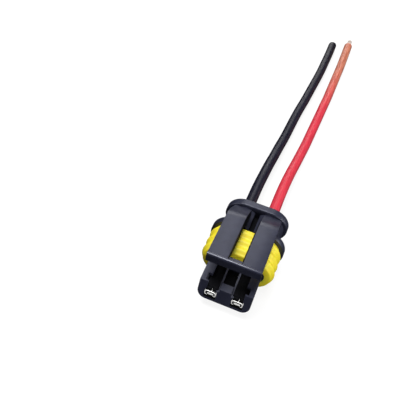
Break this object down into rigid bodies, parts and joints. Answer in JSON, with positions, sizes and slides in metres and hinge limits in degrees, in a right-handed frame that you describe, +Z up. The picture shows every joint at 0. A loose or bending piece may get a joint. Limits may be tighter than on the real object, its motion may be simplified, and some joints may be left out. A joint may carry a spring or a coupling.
{
  "type": "connector pigtail",
  "caption": "Sealed plug connector on short black and red wires: black nose, ridged yellow seal and a flexing latch, for joining low-voltage circuits to a matching header.",
  "frame": {"origin": "centre of the plug's footprint on the surface it lies on, wires left out", "axes": "+Y runs from the nose to the wires, +Z is up from the underside to the latch, +X is the red wire's side"},
  "size_m": [0.0172, 0.1225, 0.0139],
  "materials": {
    "black_plastic": "moulded, fine satin",
    "yellow_silicone": "smooth moulded silicone",
    "tinned_metal": "tin plated",
    "black_jacket": "soft extruded jacket",
    "red_jacket": "soft extruded jacket"
  },
  "bodies": {
    "housing": {"housing": "black_plastic", "interface_seal": "yellow_silicone", "contact_left": "tinned_metal", "contact_right": "tinned_metal", "wire_seal_left": "yellow_silicone", "wire_seal_right": "yellow_silicone", "wire_black": "black_jacket", "wire_red": "red_jacket", "wire_tip": "tinned_metal"},
    "latch": {"latch": "black_plastic"}
  },
  "joints": [
    {"name": "latch_flex", "type": "hinge", "parent": "housing", "child": "latch", "pos_m": [0, 0.00825, 0.00941], "axis": [-1, 0, 0], "range_deg": [0, 6], "stiffness_Nm_per_rad": 0.8}
  ]
}
